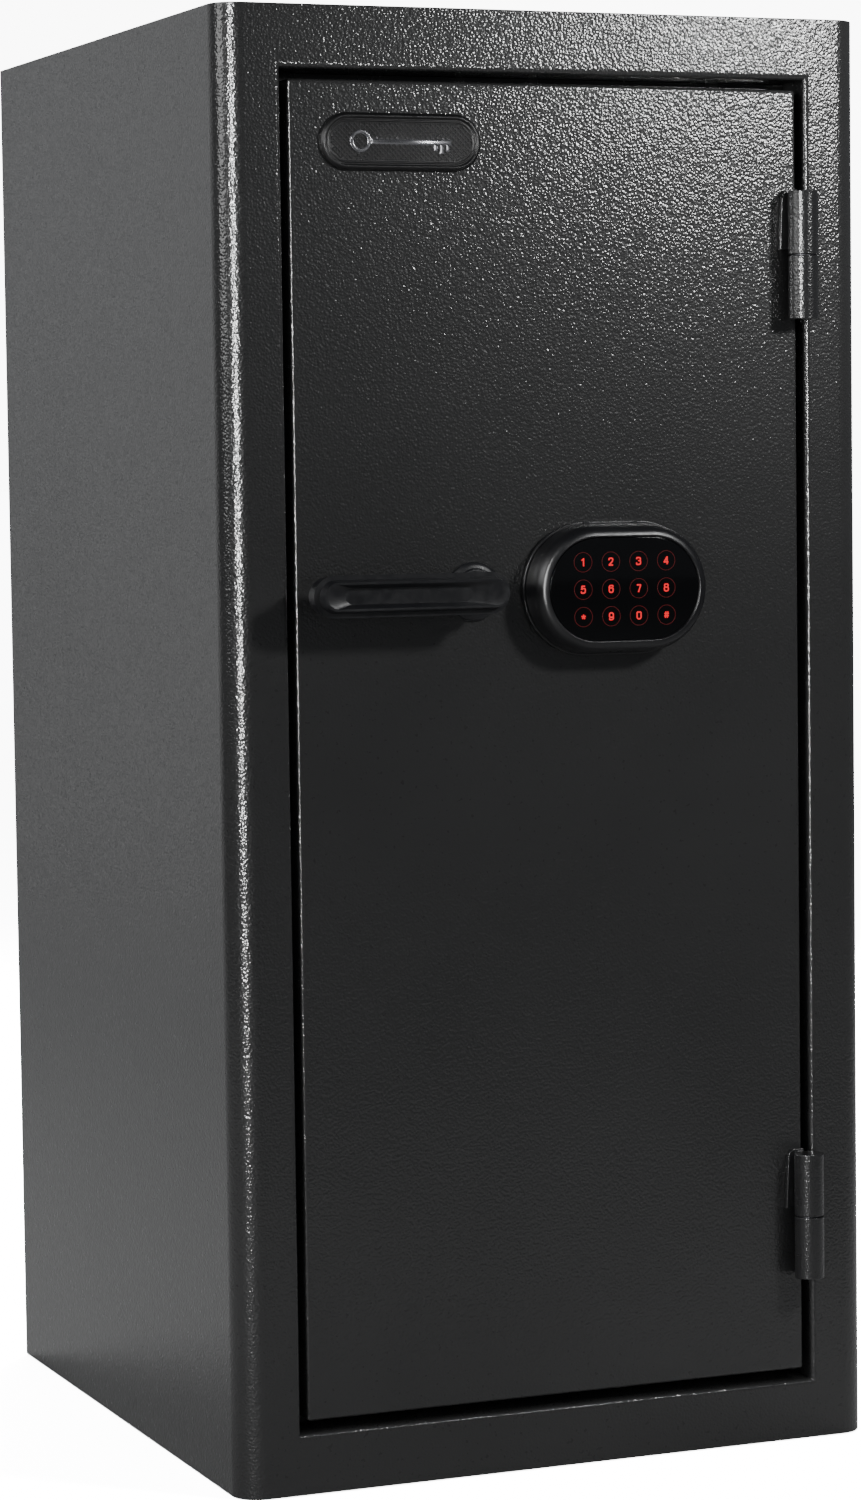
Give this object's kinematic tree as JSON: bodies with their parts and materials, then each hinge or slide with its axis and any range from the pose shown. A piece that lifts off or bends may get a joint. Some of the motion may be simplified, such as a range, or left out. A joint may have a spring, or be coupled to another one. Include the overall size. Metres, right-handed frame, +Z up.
{
  "type": "gun safe",
  "caption": "Upright steel security cabinet with a recessed hinged door, locking bolts, a lever handle and an electronic touch keypad.",
  "frame": {"origin": "centre of the body's underside", "axes": "+Z up, +X to the right as seen by someone facing the door, the door faces -Y"},
  "size_m": [0.35, 0.402, 0.736],
  "materials": {
    "painted_steel": "textured powder coat",
    "inner_paint": "fine powder coat",
    "rubber": "matt",
    "carpet": "needled felt",
    "bright_steel": "nickel plated",
    "brass": "turned",
    "dark_steel": "black oxide",
    "zinc_steel": "zinc plated",
    "black_plastic": "satin",
    "badge_face": "fine diagonal ribs",
    "gloss_black": "high gloss",
    "key_marking": "lit red print",
    "circuit_board": "solder mask",
    "coil_wrap": "wound copper",
    "cell_wrap": "printed sleeve",
    "red_plastic": "moulded"
  },
  "bodies": {
    "cabinet": {"body_wrap": "painted_steel", "top_plate": "painted_steel", "bottom_plate": "painted_steel", "back_panel": "painted_steel", "door_stop_frame": "painted_steel", "door_seal": "rubber", "hinge_knuckle_fixed_upper": "painted_steel", "hinge_knuckle_fixed_lower": "painted_steel", "hinge_pin_upper": "bright_steel", "hinge_pin_lower": "bright_steel", "hinge_washer_upper": "dark_steel", "hinge_washer_lower": "dark_steel", "shelf": "inner_paint", "shelf_mat": "carpet", "shelf_brackets": "inner_paint", "floor_mat": "carpet"},
    "door": {"door_panel": "painted_steel", "hinge_knuckle_door_upper": "painted_steel", "hinge_knuckle_door_lower": "painted_steel", "door_inner_cover": "inner_paint", "cover_screws": "zinc_steel", "badge_plate": "black_plastic", "badge_inlay": "badge_face", "handle_rosette": "black_plastic", "spindle_bush": "brass", "keypad_gasket": "rubber", "keypad_housing": "black_plastic", "keypad_touch_panel": "gloss_black", "keypad_rings": "key_marking", "keypad_board": "circuit_board", "keypad_screws": "zinc_steel", "keypad_lead": "rubber", "bolt_channel": "zinc_steel", "fixed_bolt_channel": "zinc_steel", "fixed_bolt_top": "bright_steel", "fixed_bolt_middle": "bright_steel", "fixed_bolt_bottom": "bright_steel", "solenoid_frame": "zinc_steel", "solenoid_coil": "coil_wrap", "solenoid_lead": "rubber", "control_box": "black_plastic", "control_board": "circuit_board", "battery_holder": "black_plastic", "batteries": "cell_wrap"},
    "handle": {"lever_handle": "black_plastic", "handle_spindle": "bright_steel", "spindle_crank": "zinc_steel", "crank_screw": "dark_steel"},
    "bolt_carriage": {"bolt_bar": "zinc_steel", "locking_bolt_top": "bright_steel", "locking_bolt_middle": "bright_steel", "locking_bolt_bottom": "bright_steel", "bolt_screws": "dark_steel", "drive_plate": "zinc_steel", "lock_lug": "zinc_steel"},
    "plunger": {"solenoid_plunger": "bright_steel"},
    "battery_door": {"battery_lid": "black_plastic"},
    "button": {"code_button": "red_plastic"}
  },
  "joints": [
    {"name": "door_hinge", "type": "hinge", "parent": "cabinet", "child": "door", "pos_m": [0.1373, -0.1942, 0.3675], "axis": [0, 0, 1], "range_deg": [0, 180]},
    {"name": "handle_turn", "type": "hinge", "parent": "door", "child": "handle", "pos_m": [-0.0435, -0.184, 0.448], "axis": [0, 1, 0], "range_deg": [0, 90]},
    {"name": "bolt_throw", "type": "slide", "parent": "door", "child": "bolt_carriage", "axis": [-1, 0, 0], "range_m": [0, 0.02405]},
    {"name": "plunger_slide", "type": "slide", "parent": "door", "child": "plunger", "axis": [0, 0, 1], "range_m": [0, 0.01]},
    {"name": "battery_lid_slide", "type": "slide", "parent": "door", "child": "battery_door", "axis": [0, 0, 1], "range_m": [0, 0.055]},
    {"name": "code_button_press", "type": "slide", "parent": "door", "child": "button", "axis": [0, -1, 0], "range_m": [0, 0.0015], "stiffness_N_per_m": 150, "springref_m": -0.002}
  ],
  "couplings": [
    {"joint": "handle_turn", "follows": "bolt_throw", "rad_per_m": 65.3}
  ]
}
